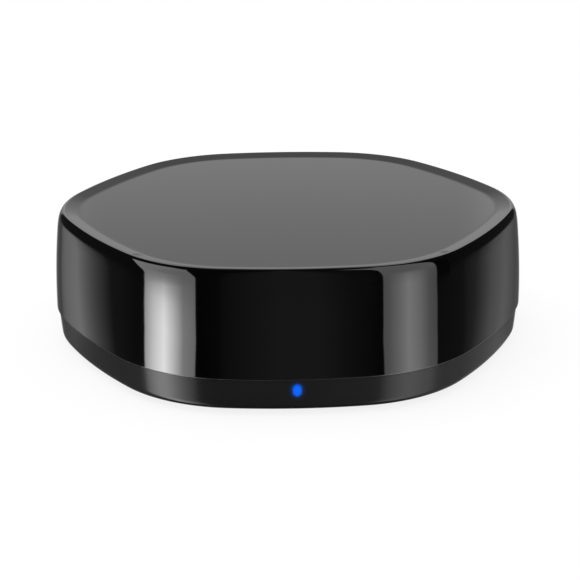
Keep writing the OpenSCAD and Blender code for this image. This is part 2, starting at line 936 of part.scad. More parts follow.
top_shell();
bottom_shell();
foot_ring();
case_screws();
light_pipe();
reset_button();
main_board();
wifi_board();
wifi_chip();
wifi_flash();
wifi_crystal();
wifi_antenna();
radial_emitter(1);  // ir_emitter_1
radial_emitter(2);  // ir_emitter_2
radial_emitter(3);  // ir_emitter_3
radial_emitter(4);  // ir_emitter_4
radial_emitter(5);  // ir_emitter_5
radial_emitter(6);  // ir_emitter_6
ir_emitter_up();
emitter_leads();
ir_receiver();
receiver_leads();
usb_socket_shell();
usb_insulator();
usb_contacts();
switch_housing();
switch_cover();
switch_plunger();
switch_dome();
switch_terminals();
status_led();
regulator();
regulator_leads();
capacitor_can();
capacitor_base();
driver_transistors();
transistor_leads();
emitter_resistors();
chip_capacitors();
input_diode();
solder_joints();
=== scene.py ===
"""A smart infrared hub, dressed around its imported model.

Lengths in the tables are millimetres, as in the part's source. The front faces -Y.
"""

import math

import bmesh
import bpy
from mathutils import Matrix, Vector


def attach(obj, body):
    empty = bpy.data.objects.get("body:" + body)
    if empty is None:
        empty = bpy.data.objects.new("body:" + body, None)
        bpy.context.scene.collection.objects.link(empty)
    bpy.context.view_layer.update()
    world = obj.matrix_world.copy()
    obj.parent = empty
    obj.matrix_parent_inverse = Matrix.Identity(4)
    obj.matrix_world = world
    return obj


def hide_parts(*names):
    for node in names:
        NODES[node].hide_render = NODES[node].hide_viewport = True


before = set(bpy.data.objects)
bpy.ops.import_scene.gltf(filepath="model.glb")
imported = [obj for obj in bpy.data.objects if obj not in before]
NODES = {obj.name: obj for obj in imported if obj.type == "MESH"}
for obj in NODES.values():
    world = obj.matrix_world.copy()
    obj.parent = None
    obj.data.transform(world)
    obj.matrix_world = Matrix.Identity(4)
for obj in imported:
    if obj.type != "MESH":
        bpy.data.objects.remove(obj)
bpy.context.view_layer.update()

MM = 0.001

# The case's plan: six side arcs that run smoothly into six corner arcs.
SIDES = 6
SIDE_TURN = math.radians(60)
FRONT = math.radians(-90)
ACROSS_CORNERS = 66
SIDE_RADIUS = 72
CORNER_RADIUS = 20
CORNER_CENTRE = ACROSS_CORNERS / 2 - CORNER_RADIUS
CORNER_ACROSS = CORNER_CENTRE * math.sin(SIDE_TURN / 2)
CORNER_ALONG = CORNER_CENTRE * math.cos(SIDE_TURN / 2)
SIDE_CENTRE = math.sqrt((SIDE_RADIUS - CORNER_RADIUS) ** 2 - CORNER_ACROSS ** 2) - CORNER_ALONG
SIDE_ANGLE = math.atan2(CORNER_ACROSS, SIDE_CENTRE + CORNER_ALONG)
HALF_FLATS = SIDE_RADIUS - SIDE_CENTRE
SIDE_STEPS = 6
CORNER_STEPS = 16

# How close together two points have to be to become one, in metres.
MERGE_DISTANCE = 0.000002

# Levels.
BASE_Z = 0.6
GROOVE_Z = 1.1
FLOOR_Z = 2.1
SCREW_SEAT_Z = 2.6
PORT_Z = 3.5
SEAM_Z = 5.0
BOARD_TOP = 6.2
LIP_Z = 6.6
REBATE_Z = 6.7
ROOF_Z = 16.7
WALL_TOP_Z = 17.8
DISH_Z = 18.5
TOP_Z = 18.96

# Walls and rim.
SHELL_T = 2
LAP_OUTER_T = 1
LIP_INSET = 1.1
ROOF_BLEND = 1.5
FLOOR_BLEND = 0.3
WALL_DRAFT = 0.77
# The rim tightens as it rises: each arc's radius, and the tilt in degrees that its face turns to.
RIM_LEAN = 6.2
RIM_ARCS = [(10, 14), (2.35, 32), (1.15, 60), (0.45, 90), (0.45, 105)]
RIM_SLOPE = 15
DISH_BLEND = 2.6
SEAM_STEP = 0.25
BASE_LEAN = 0.29
BASE_EDGE_RADIUS = 1.1
SEAM_EDGE = 0.12
# A flat face starts with a narrow ring, and a long straight one has points near its ends, so that
# the shading of a round edge doesn't run over it.
FLAT_RING = 0.4
EDGE_MARGIN = 0.06

# How many steps the arcs and walls are drawn in.
ROOF_BLEND_STEPS = 6
INNER_WALL_STEPS = 8
WALL_STEPS = 14
RIM_STEPS = 6
DISH_STEPS = 6
EDGE_STEPS = 4
BASE_EDGE_STEPS = 8
FLOOR_BLEND_STEPS = 3

# Foot.
FOOT_OUTER = 4.5
FOOT_INNER = 11.5
FOOT_GAP = 0.1
FOOT_EDGE = 0.25

# Screws and the posts round them.
SCREW_SPOT = 23.666
SCREW_ANGLES = [math.radians(angle) for angle in (30, 150, 210, 330)]
BOSS_RADIUS = 2.6
BOSS_ROOT = 0.9
GUSSET_REACH = 4.2
GUSSET_HALF_T = 0.45
GUSSET_DROP = 3.4
PILOT_RADIUS = 1.03
PILOT_TOP = 11.4
STANDOFF_RADIUS = 3
STANDOFF_ROOT = 0.2
SINK_RADIUS = 2.1
SHANK_HOLE_RADIUS = 1.15
# How far a cutter reaches past what it cuts, and how far a post reaches into the floor.
OVERCUT = 0.4
FLOOR_ROOT = 0.75

# The pins that place the board.
PIN_X = 6.5
PIN_Y = -22.466
PIN_RADIUS = 1.5
PIN_TIP_RADIUS = 0.9
PIN_TIP_OVERLAP = 0.3

# Ports.
PIPE_W = 1.2
PIPE_H = 1.7
PIPE_FRONT = -31.334
PIPE_FLANGE_FRONT = -29.566
PIPE_FLANGE_BACK = -28.966
PIPE_BACK = -27.566
PIPE_EDGE = 0.1
PIPE_FLANGE_EXTRA = 0.8
PIPE_HOLE_EXTRA = 0.1
PIPE_HOLE_BACK = -27.6
CRADLE_HALF_W = 1.3
CRADLE_DEPTH = 0.8
CRADLE_OVERLAP = 0.001
BUTTON_X = 9
BUTTON_W = 3.4
BUTTON_H = 1.7
BUTTON_BACK = 27.25
BUTTON_BLANK_END = 32
BUTTON_FACE = 31.1
BUTTON_EDGE = 0.15
BUTTON_FLANGE_W = 4.8
BUTTON_FLANGE_H = 2.5
BUTTON_FLANGE_FRONT = 27.85
BUTTON_HOLE_EXTRA = 0.24
BUTTON_HOLE_BACK = 26.5
SEAT_HALF_W = 3.2
SEAT_BACK = 27.9
SEAT_FRONT = 29.2
HOLE_END = 32.1
NOTCH_HALF_W = 4.05
NOTCH_DEPTH = 4.4
SOCKET_MOUTH = 30.766
SOCKET_BACK = 25.266
SOCKET_OUTLINE = [(-3.75, 2.4), (3.75, 2.4), (3.75, 3.8), (2.9, 5), (-2.9, 5), (-3.75, 3.8)]
SOCKET_BEND = 0.35
SOCKET_BEND_STEPS = 4
SOCKET_SHEET_T = 0.3
SOCKET_EDGE = 0.08
TAB_X = 3.625
TAB_HALF_T = 0.12
TAB_BACK = 26.366
TAB_FRONT = 27.366
TAB_LOW = 3.1
TAB_HIGH = 6.5
TAB_EDGE = 0.04
PILL_VERTICES = 48

# Where the finishes fade, in metres. The painted glow on the base round the light, and the light's core,
# are longer upright than across.
# The painted reflection strip along the top case's lower edge.
PAINTED_SHEEN_FADE = ((SEAM_Z + 0.05) * MM, (SEAM_Z + 0.09) * MM)
PIPE_MIDDLE = (0, PIPE_FRONT * MM, PORT_Z * MM)
PAINTED_GLOW_STRETCH = (1, 1, 0.8)
PAINTED_GLOW_FADE = (0.0005, 0.0014)
CORE_STRETCH = (1, 0, 0.7)
CORE_FADE = (0.0003, 0.00066)

FLAT = math.radians(30)


# Working in object and edit mode.

def pick_only(piece):
    """Makes one object the only one that operators act on."""
    bpy.ops.object.select_all(action="DESELECT")
    bpy.context.view_layer.objects.active = piece
    piece.select_set(True)


def start_piece(name, add, **settings):
    """Adds a primitive with nothing else selected, and names it."""
    bpy.ops.object.select_all(action="DESELECT")
    add(**settings)
    piece = bpy.context.object
    piece.name = name
    return piece


def in_metres(*place):
    return [value * MM for value in place]


def select(piece, kind, wanted):
    """Selects the vertices, edges or faces that pass a test, in edit mode."""
    bpy.ops.mesh.select_mode(type=kind)
    bpy.ops.mesh.select_all(action="DESELECT")
    mesh = bmesh.from_edit_mesh(piece.data)
    parts = {"VERT": mesh.verts, "EDGE": mesh.edges, "FACE": mesh.faces}[kind]
    for part in parts:
        part.select = wanted(part)
    mesh.select_flush_mode()
    bmesh.update_edit_mesh(piece.data)


def finish_mesh(piece, smooth=FLAT):
    """Closes an edited mesh: merges doubles, turns the faces outwards and smooths the shading."""
    if bpy.context.mode != "EDIT_MESH":
        pick_only(piece)
        bpy.ops.object.mode_set(mode="EDIT")
    bpy.ops.mesh.select_mode(type="VERT")
    bpy.ops.mesh.select_all(action="SELECT")
    bpy.ops.mesh.remove_doubles(threshold=MERGE_DISTANCE)
    bpy.ops.mesh.normals_make_consistent(inside=False)
    bpy.ops.object.mode_set(mode="OBJECT")
    pick_only(piece)
    bpy.ops.object.transform_apply(location=True, rotation=True, scale=True)
    bpy.ops.object.shade_smooth_by_angle(angle=smooth)
    return piece


def combine(piece, other, operation):
    """Joins or cuts a piece with another, which is used up."""
    pick_only(piece)
    bpy.ops.object.modifier_add(type="BOOLEAN")
    modifier = piece.modifiers[-1]
    modifier.operation = operation
    modifier.solver = "EXACT"
    modifier.object = other
    bpy.ops.object.modifier_apply(modifier=modifier.name)
    bpy.data.objects.remove(other)


def soften(piece, width, segments=2, angle=40):
    """Rounds the sharp edges of a piece with an applied bevel."""
    pick_only(piece)
    bpy.ops.object.modifier_add(type="BEVEL")
    modifier = piece.modifiers[-1]
    modifier.width = width * MM
    modifier.segments = segments
    modifier.limit_method = "ANGLE"
    modifier.angle_limit = math.radians(angle)
    bpy.ops.object.modifier_apply(modifier=modifier.name)


class Pen:
    """Draws a wire at the front of the case, in the plane x = 0.

    A place on it is an inset from the case's widest outline and a height.
    """

    def __init__(self, name, inset, height):
        self.here = Vector((inset, height))
        self.piece = start_piece(name, bpy.ops.mesh.primitive_plane_add, size=MM,
                                 location=self.place(self.here), enter_editmode=True)
        bpy.ops.mesh.merge(type="CENTER")

    @staticmethod
    def place(spot):
        return in_metres(0, spot[0] - HALF_FLATS, spot[1])

    def line(self, inset, height):
        step = Vector((inset, height)) - self.here
        bpy.ops.mesh.extrude_vertices_move(
            TRANSFORM_OT_translate={"value": in_metres(0, step[0], step[1])})
        self.here = Vector((inset, height))

    def straight(self, inset, height):
        """A line with a point close to each end, so that its shading stays flat."""
        start = self.here.copy()
        end = Vector((inset, height))
        margin = (end - start).normalized() * EDGE_MARGIN
        for spot in (start + margin, end - margin, end):
            self.line(*spot)

    def arc(self, inset, height, turn, steps):
        """Turns about a place, anticlockwise seen from +X. Spin itself turns the other way."""
        centre = Vector((inset, height))
        bpy.ops.mesh.spin(steps=steps, angle=-math.radians(turn), center=self.place(centre),
                          axis=(1, 0, 0))
        self.here = centre + Matrix.Rotation(math.radians(turn), 2) @ (self.here - centre)

    def round_over(self, radius, tilt, new_tilt, steps):
        """Bends the face inwards, from one tilt above the horizontal to another, in degrees."""
        slope = math.radians(tilt)
        inset = self.here[0] + radius * math.cos(slope)
        height = self.here[1] - radius * math.sin(slope)
        self.arc(inset, height, tilt - new_tilt, steps)


def spin_about(centre, heading, angle, steps):
    """Sweeps what is selected about an upright axis, anticlockwise seen from above."""
    spot = (centre * math.cos(heading) * MM, centre * math.sin(heading) * MM, 0)
    bpy.ops.mesh.spin(steps=steps, angle=-angle, center=spot, axis=(0, 0, 1))


def sweep_round_case(pen, ends="FILL"):
    """Sweeps a wire round the twelve arcs of the plan, and closes what stays open."""
    bpy.ops.mesh.select_all(action="SELECT")
    for side in range(SIDES):
        heading = FRONT + side * SIDE_TURN
        spin_about(-SIDE_CENTRE, heading, SIDE_ANGLE, SIDE_STEPS)
        spin_about(CORNER_CENTRE, heading + SIDE_TURN / 2, SIDE_TURN - 2 * SIDE_ANGLE, CORNER_STEPS)
        spin_about(-SIDE_CENTRE, heading + SIDE_TURN, SIDE_ANGLE, SIDE_STEPS)
    bpy.ops.mesh.select_all(action="SELECT")
    bpy.ops.mesh.remove_doubles(threshold=MERGE_DISTANCE)
    if ends == "FILL":
        bpy.ops.mesh.select_all(action="SELECT")
        bpy.ops.mesh.fill_holes(sides=0)
    return finish_mesh(pen.piece)


def post(name, x, y, radius, low, high, vertices=40):
    """An upright round post between two heights."""
    return start_piece(name, bpy.ops.mesh.primitive_cylinder_add, vertices=vertices,
                       radius=radius * MM, depth=(high - low) * MM,
                       location=in_metres(x, y, (low + high) / 2))


def block(name, low, high, turn=0.0):
    """A box between two corners, turned about its own upright axis."""
    middle = [(a + b) / 2 for a, b in zip(low, high)]
    size = in_metres(*[b - a for a, b in zip(low, high)])
    return start_piece(name, bpy.ops.mesh.primitive_cube_add, size=1, scale=size,
                       location=in_metres(*middle), rotation=(0, 0, turn))


def pill(name, x, z, width, height, y_from, y_to):
    """A bar along Y with rounded ends in section."""
    narrow = min(width, height)
    piece = start_piece(name, bpy.ops.mesh.primitive_circle_add, vertices=PILL_VERTICES,
                        radius=narrow / 2 * MM, fill_type="NGON", enter_editmode=True,
                        location=in_metres(x, y_from, z), rotation=(math.radians(90), 0, 0))
    stretch = in_metres((width - narrow) / 2, 0, (height - narrow) / 2)
    along = 0 if width > height else 1
    for side in (1, -1):
        select(piece, "VERT", lambda vert, side=side: vert.co[along] * side > -1e-7)
        bpy.ops.transform.translate(value=[side * step for step in stretch])
    select(piece, "FACE", lambda face: True)
    bpy.ops.mesh.extrude_region_move(
        TRANSFORM_OT_translate={"value": in_metres(0, y_to - y_from, 0)})
    return finish_mesh(piece)


# The case.

def wall_inset(height):
    """How far the top case's wall has curved in at a height, up to where the rim begins."""
    rise = (height - SEAM_Z) / (WALL_TOP_Z - SEAM_Z)
    return WALL_DRAFT * rise ** 2


def draw_wall(pen, low, high, inset, steps):
    """Lines up or down the curved wall, at an inset from its outer face."""
    heights = [low + (high - low) * step / steps for step in range(1, steps + 1)]
    for height in [low + math.copysign(EDGE_MARGIN, high - low)] + heights:
        pen.line(inset + wall_inset(height), height)


def rim_height():
    """How far the rim's arcs climb from the wall to the crest."""
    height = 0
    tilt = RIM_LEAN
    for radius, new_tilt in RIM_ARCS[:-1]:
        height += radius * (math.sin(math.radians(new_tilt)) - math.sin(math.radians(tilt)))
        tilt = new_tilt
    return height


def gusseted_boss(x, y, angle):
    """A post under the roof for a screw, with two crossed gussets."""
    root = ROOF_Z + BOSS_ROOT
    boss = post("boss", x, y, BOSS_RADIUS, BOARD_TOP, root)
    low = (x - GUSSET_REACH, y - GUSSET_HALF_T, ROOF_Z - GUSSET_DROP)
    high = (x + GUSSET_REACH, y + GUSSET_HALF_T, root)
    for turn in (0, math.radians(90)):
        combine(boss, block("gusset", low, high, angle + turn), "UNION")
    return boss


def top_case():
    """The glossy top: roof, wall, rounded rim and dished face, swept in one piece."""
    inner_top = ROOF_Z - ROOF_BLEND
    inner = SHELL_T + wall_inset(inner_top)
    slope = math.radians(RIM_SLOPE)

    pen = Pen("top_case", inner + ROOF_BLEND + FLAT_RING, ROOF_Z)
    pen.line(inner + ROOF_BLEND, ROOF_Z)
    pen.arc(inner + ROOF_BLEND, inner_top, 90, ROOF_BLEND_STEPS)
    draw_wall(pen, inner_top, REBATE_Z, SHELL_T, INNER_WALL_STEPS)
    pen.line(LAP_OUTER_T, REBATE_Z)
    pen.line(LAP_OUTER_T, SEAM_Z)
    pen.line(SEAM_EDGE, SEAM_Z)
    pen.arc(SEAM_EDGE, SEAM_Z + SEAM_EDGE, -90, EDGE_STEPS)
    draw_wall(pen, SEAM_Z + SEAM_EDGE, TOP_Z - rim_height(), 0, WALL_STEPS)
    tilt = RIM_LEAN
    for radius, new_tilt in RIM_ARCS:
        pen.round_over(radius, tilt, new_tilt, RIM_STEPS)
        tilt = new_tilt
    blend_top = DISH_Z + DISH_BLEND * (1 - math.cos(slope))
    pen.line(pen.here[0] + (pen.here[1] - blend_top) / math.tan(slope), blend_top)
    pen.arc(pen.here[0] + DISH_BLEND * math.sin(slope), DISH_Z + DISH_BLEND, RIM_SLOPE, DISH_STEPS)
    pen.line(pen.here[0] + FLAT_RING, DISH_Z)
    case = sweep_round_case(pen)

    for angle in SCREW_ANGLES:
        x = SCREW_SPOT * math.cos(angle)
        y = SCREW_SPOT * math.sin(angle)
        combine(case, gusseted_boss(x, y, angle), "UNION")
        pilot = post("pilot", x, y, PILOT_RADIUS, BOARD_TOP - OVERCUT, PILOT_TOP)
        combine(case, pilot, "DIFFERENCE")
    return finish_mesh(case)


def add_posts(case):
    """The base's standoffs with their screw holes, the pins, and the seats of pipe and button."""
    for angle in SCREW_ANGLES:
        x = SCREW_SPOT * math.cos(angle)
        y = SCREW_SPOT * math.sin(angle)
        standoff = post("standoff", x, y, STANDOFF_RADIUS, GROOVE_Z + STANDOFF_ROOT, SEAM_Z)
        combine(case, standoff, "UNION")
        sink = post("sink", x, y, SINK_RADIUS, GROOVE_Z - OVERCUT, SCREW_SEAT_Z)
        combine(case, sink, "DIFFERENCE")
        shank_hole = post("shank_hole", x, y, SHANK_HOLE_RADIUS, GROOVE_Z, SEAM_Z + OVERCUT)
        combine(case, shank_hole, "DIFFERENCE")
    root = FLOOR_Z - FLOOR_ROOT
    for x in (-PIN_X, PIN_X):
        pin = post("pin", x, PIN_Y, PIN_RADIUS, root, SEAM_Z)
        tip = post("pin_tip", x, PIN_Y, PIN_TIP_RADIUS, SEAM_Z - PIN_TIP_OVERLAP,
                   BOARD_TOP + PIN_TIP_OVERLAP)
        combine(pin, tip, "UNION")
        combine(case, pin, "UNION")
    cradle = block("cradle", (-CRADLE_HALF_W, PIPE_BACK - CRADLE_OVERLAP, root),
                   (CRADLE_HALF_W, PIPE_BACK + CRADLE_DEPTH, PORT_Z - PIPE_H / 2))
    combine(case, cradle, "UNION")
    seat = block("seat", (BUTTON_X - SEAT_HALF_W, SEAT_BACK, root),
                 (BUTTON_X + SEAT_HALF_W, SEAT_FRONT, SEAM_Z))
    combine(case, seat, "UNION")


def cut_ports(case):
    """The openings for the socket, the button and the light pipe."""
    notch = block("notch", (-NOTCH_HALF_W, HALF_FLATS - NOTCH_DEPTH, FLOOR_Z),
                  (NOTCH_HALF_W, HALF_FLATS + OVERCUT, LIP_Z + OVERCUT))
    combine(case, notch, "DIFFERENCE")
    button_hole = pill("button_hole", BUTTON_X, PORT_Z, BUTTON_W + BUTTON_HOLE_EXTRA,
                       BUTTON_H + BUTTON_HOLE_EXTRA, BUTTON_HOLE_BACK, HOLE_END)
    combine(case, button_hole, "DIFFERENCE")
    pipe_hole = pill("pipe_hole", 0, PORT_Z, PIPE_W + PIPE_HOLE_EXTRA, PIPE_H + PIPE_HOLE_EXTRA,
                     -HOLE_END, PIPE_HOLE_BACK)
    combine(case, pipe_hole, "DIFFERENCE")


def base_case():
    """The satin base: band, rounded lower edge, groove for the foot, floor and lip."""
    edge_inset = SEAM_STEP + BASE_LEAN
    pen = Pen("base_case", FOOT_INNER + FLAT_RING, BASE_Z)
    pen.line(FOOT_INNER, BASE_Z)
    pen.line(FOOT_INNER, GROOVE_Z)
    pen.line(FOOT_OUTER, GROOVE_Z)
    pen.line(FOOT_OUTER, BASE_Z)
    pen.line(edge_inset + BASE_EDGE_RADIUS, BASE_Z)
    pen.arc(edge_inset + BASE_EDGE_RADIUS, BASE_Z + BASE_EDGE_RADIUS, -90, BASE_EDGE_STEPS)
    pen.straight(SEAM_STEP, SEAM_Z - SEAM_EDGE)
    pen.arc(SEAM_STEP + SEAM_EDGE, SEAM_Z - SEAM_EDGE, -90, EDGE_STEPS)
    pen.line(LIP_INSET, SEAM_Z)
    pen.line(LIP_INSET, LIP_Z)
    pen.line(SHELL_T, LIP_Z)
    pen.line(SHELL_T, FLOOR_Z + FLOOR_BLEND)
    pen.arc(SHELL_T + FLOOR_BLEND, FLOOR_Z + FLOOR_BLEND, 90, FLOOR_BLEND_STEPS)
    pen.line(SHELL_T + FLOOR_BLEND + FLAT_RING, FLOOR_Z)
    case = sweep_round_case(pen)
    add_posts(case)
    cut_ports(case)
    return finish_mesh(case)


def foot():
    """The rubber ring that the hub stands on."""
    outer = FOOT_OUTER + FOOT_GAP
    inner = FOOT_INNER - FOOT_GAP
    pen = Pen("foot", inner - FOOT_EDGE, 0)
    pen.line(outer + FOOT_EDGE, 0)
    pen.arc(outer + FOOT_EDGE, FOOT_EDGE, -90, EDGE_STEPS)
    pen.line(outer, GROOVE_Z)
    pen.line(inner, GROOVE_Z)
    pen.line(inner, FOOT_EDGE)
    pen.arc(inner - FOOT_EDGE, FOOT_EDGE, -90, EDGE_STEPS)
    return sweep_round_case(pen, ends="OPEN")


def light_guide():
    """The blue light pipe: a bar with a softened front, and its flange."""
    bar = pill("light_guide", 0, PORT_Z, PIPE_W, PIPE_H, PIPE_FRONT, PIPE_BACK)
    soften(bar, PIPE_EDGE, segments=3)
    flange = pill("flange", 0, PORT_Z, PIPE_W + PIPE_FLANGE_EXTRA, PIPE_H + PIPE_FLANGE_EXTRA,
                  PIPE_FLANGE_FRONT, PIPE_FLANGE_BACK)
    combine(bar, flange, "UNION")
    return finish_mesh(bar)


def button_cap():
    """The reset button: a cap cut to the slant of the rear wall, and its flange."""
    cap = pill("reset_cap", BUTTON_X, PORT_Z, BUTTON_W, BUTTON_H, BUTTON_BACK, BUTTON_BLANK_END)
    pick_only(cap)
    bpy.ops.object.mode_set(mode="EDIT")
    bpy.ops.mesh.select_all(action="SELECT")
    bpy.ops.mesh.bisect(plane_co=in_metres(BUTTON_X, BUTTON_FACE, PORT_Z),
                        plane_no=(math.sin(SIDE_ANGLE), math.cos(SIDE_ANGLE), 0),
                        use_fill=True, clear_outer=True)
    finish_mesh(cap)
    soften(cap, BUTTON_EDGE, segments=3)
    flange = pill("flange", BUTTON_X, PORT_Z, BUTTON_FLANGE_W, BUTTON_FLANGE_H, BUTTON_BACK,
                  BUTTON_FLANGE_FRONT)
    combine(cap, flange, "UNION")
    return finish_mesh(cap)


def socket_sheet():
    """The micro socket's folded metal shell, with its two board tabs."""
    start = in_metres(SOCKET_OUTLINE[0][0], SOCKET_BACK, SOCKET_OUTLINE[0][1])
    piece = start_piece("socket_sheet", bpy.ops.mesh.primitive_plane_add, size=MM, location=start,
                        enter_editmode=True)
    bpy.ops.mesh.merge(type="CENTER")
    for here, there in zip(SOCKET_OUTLINE, SOCKET_OUTLINE[1:]):
        step = in_metres(there[0] - here[0], 0, there[1] - here[1])
        bpy.ops.mesh.extrude_vertices_move(TRANSFORM_OT_translate={"value": step})
    bpy.ops.mesh.select_all(action="SELECT")
    bpy.ops.mesh.edge_face_add()
    bpy.ops.mesh.bevel(offset=SOCKET_BEND * MM, segments=SOCKET_BEND_STEPS, affect="VERTICES")
    bpy.ops.mesh.select_all(action="SELECT")
    bpy.ops.mesh.delete(type="ONLY_FACE")
    bpy.ops.mesh.select_all(action="SELECT")
    bpy.ops.mesh.extrude_edges_move(
        TRANSFORM_OT_translate={"value": in_metres(0, SOCKET_MOUTH - SOCKET_BACK, 0)})
    finish_mesh(piece)
    bpy.ops.object.modifier_add(type="SOLIDIFY")
    modifier = piece.modifiers[-1]
    modifier.thickness = SOCKET_SHEET_T * MM
    modifier.offset = -1
    bpy.ops.object.modifier_apply(modifier=modifier.name)
    soften(piece, SOCKET_EDGE)
    for x in (-TAB_X, TAB_X):
        tab = block("tab", (x - TAB_HALF_T, TAB_BACK, TAB_LOW), (x + TAB_HALF_T, TAB_FRONT, TAB_HIGH))
        soften(tab, TAB_EDGE)
        combine(piece, tab, "UNION")
    return finish_mesh(piece)


# Shader maths: a socket that takes part in sums.

def operator(operation, swapped=False):
    def apply(self, other):
        pair = (other, self) if swapped else (self, other)
        return self.graph.maths(operation, *pair)
    return apply


class Wire:
    """A node's output that adds Math nodes when it is used in a sum."""

    def __init__(self, graph, socket):
        self.graph = graph
        self.socket = socket

    __add__ = __radd__ = operator("ADD")
    __mul__ = __rmul__ = operator("MULTIPLY")
    __sub__ = operator("SUBTRACT")
    __rsub__ = operator("SUBTRACT", swapped=True)
    __truediv__ = operator("DIVIDE")
    __pow__ = operator("POWER")


# The colour mix node has several sockets with one name, so these go by number.
MIX_FIRST = 6
MIX_SECOND = 7
MIX_RESULT = 2
DEGREES = math.degrees(1)


class Graph:
    """The nodes of a material or of the world."""

    def __init__(self, owner):
        owner.use_nodes = True
        self.tree = owner.node_tree
        self.tree.nodes.clear()

    def add(self, kind, settings=None, inputs=None, output=0):
        """Adds a node: its settings first, then the values or links of its sockets."""
        node = self.tree.nodes.new("ShaderNode" + kind)
        for name, value in (settings or {}).items():
            if name == "stops":
                self.set_stops(node.color_ramp, value)
            else:
                setattr(node, name, value)
        for name, value in (inputs or {}).items():
            if isinstance(value, Wire):
                self.tree.links.new(value.socket, node.inputs[name])
            else:
                node.inputs[name].default_value = value
        return Wire(self, node.outputs[output]) if node.outputs else None

    @staticmethod
    def set_stops(ramp, stops):
        while len(ramp.elements) < len(stops):
            ramp.elements.new(1)
        for element, (place, shade) in zip(ramp.elements, stops):
            element.position = place
            element.color = (shade, shade, shade, 1)

    def maths(self, operation, *values):
        return self.add("Math", {"operation": operation}, dict(enumerate(values)))

    def profile(self, value, points):
        """A height for each value, with straight lines between the points given."""
        first, last = points[0][0], points[-1][0]
        peak = max(height for _, height in points)
        stops = [((place - first) / (last - first), height / peak) for place, height in points]
        return self.add("ValToRGB", {"stops": stops}, {0: (value - first) / (last - first)}) * peak

    def step(self, value, low, high):
        """Rises smoothly from 0 to 1 between two values."""
        return self.add("MapRange", {"interpolation_type": "SMOOTHSTEP"},
                        {"Value": value, "From Min": low, "From Max": high})

    def edge(self, value, softness):
        """Rises smoothly from 0 to 1 as a value goes from below 0 to above it."""
        return self.step(value, -softness, softness)

    def above(self, value, level=0):
        """How far a value is above a level, or 0."""
        return self.maths("MAXIMUM", value - level if level else value, 0)

    def length(self, vector):
        return self.add("VectorMath", {"operation": "LENGTH"}, {0: vector}, output="Value")

    def noise(self, place, scale, detail=2.0, roughness=0.5):
        return self.add("TexNoise", {}, {"Vector": place, "Scale": scale, "Detail": detail,
                                         "Roughness": roughness})

    def blend(self, share, first, second):
        """Mixes two colours."""
        return self.add("Mix", {"data_type": "RGBA"},
                        {"Factor": share, MIX_FIRST: first, MIX_SECOND: second}, output=MIX_RESULT)

    def place(self, centre=(0, 0, 0), size=1.0, stretch=(1, 1, 1)):
        """The point on the piece, in the object's own frame."""
        point = self.add("TexCoord", output="Object")
        scale = [size * value for value in stretch]
        shift = [-c * s for c, s in zip(centre, scale)]
        return self.add("Mapping", {}, {"Vector": point, "Location": shift, "Scale": scale})

    def parts(self, vector):
        """The x, y and z of a vector."""
        first = self.add("SeparateXYZ", {}, {0: vector})
        outputs = first.socket.node.outputs
        return [Wire(self, output) for output in outputs]

    def bump(self, height, strength, distance):
        return self.add("Bump", {}, {"Height": height, "Strength": strength, "Distance": distance})

    def ray(self, kind):
        """1 for rays of this kind and 0 for others."""
        return self.add("LightPath", output=f"Is {kind} Ray")


def mix(share, first, second):
    """Goes from the first value to the second as the share goes from 0 to 1."""
    return first * (1 - share) + second * share


def finish(name):
    """A new material, and the graph of its nodes."""
    material = bpy.data.materials.new(name)
    return material, Graph(material)


def close(graph, **inputs):
    """Ends a graph in the Principled shader. A socket's name is written with underscores."""
    named = {name.replace("_", " "): value for name, value in inputs.items()}
    shader = graph.add("BsdfPrincipled", {}, named)
    graph.add("OutputMaterial", {}, {"Surface": shader})


def colour(red, green, blue):
    return (red, green, blue, 1)


def gloss_black():
    """The polished top, whose lower edge is rougher and painted lighter: a painted reflection of the pale
    floor, in a thin line along the seam.
    """
    material, graph = finish("gloss_black")
    place = graph.place()
    smear = graph.noise(place, scale=90, detail=3)
    grain = graph.noise(place, scale=2600, detail=2)
    # A thin strip at the case's lower edge, rougher and painted a lighter grey: a painted reflection of
    # the floor along the seam.
    painted_seam_sheen = 1 - graph.step(graph.parts(place)[2], *PAINTED_SHEEN_FADE)
    skin = graph.blend(grain, colour(0.0005, 0.0005, 0.0006), colour(0.0008, 0.0008, 0.0009))
    close(graph, IOR=1.5,
          Base_Color=graph.blend(painted_seam_sheen, skin, colour(0.04, 0.04, 0.041)),
          Roughness=0.03 + smear * 0.03 + painted_seam_sheen * 0.4,
          Normal=graph.bump(grain, strength=0.02, distance=0.00002))
    return material


def satin_black():
    """The base, with a painted blue glow round the light pipe: the pipe's light spill, painted as
    emission on the base itself.
    """
    material, graph = finish("satin_black")
    place = graph.place()
    grain = graph.noise(place, scale=5200, detail=2)
    cloud = graph.noise(place, scale=130, detail=3)
    # Painted glow: the base itself emits a faint blue round the light pipe, standing in for the pipe's
    # light spilling onto it.
    away = graph.length(graph.place(PIPE_MIDDLE, stretch=PAINTED_GLOW_STRETCH))
    painted_glow = (1 - graph.step(away, *PAINTED_GLOW_FADE)) ** 2
    close(graph, Specular_IOR_Level=0.16, Emission_Strength=1.0,
          Base_Color=graph.blend(cloud, colour(0.0095, 0.0095, 0.0098), colour(0.0115, 0.0115, 0.0118)),
          Roughness=0.13 + grain * 0.06,
          Normal=graph.bump(grain, strength=0.1, distance=0.00001),
          Emission_Color=graph.blend(painted_glow, colour(0, 0, 0), colour(0, 0.02, 0.08)))
    return material


def rubber():
    material, graph = finish("foot_rubber")
    place = graph.place()
    grain = graph.noise(place, scale=3200, detail=4, roughness=0.6)
    wear = graph.noise(place, scale=160, detail=3)
    close(graph,
          Base_Color=graph.blend(wear, colour(0.018, 0.018, 0.018), colour(0.035, 0.035, 0.034)),
          Roughness=0.7 + grain * 0.2,
          Normal=graph.bump(grain, strength=0.5, distance=0.00005))
    return material


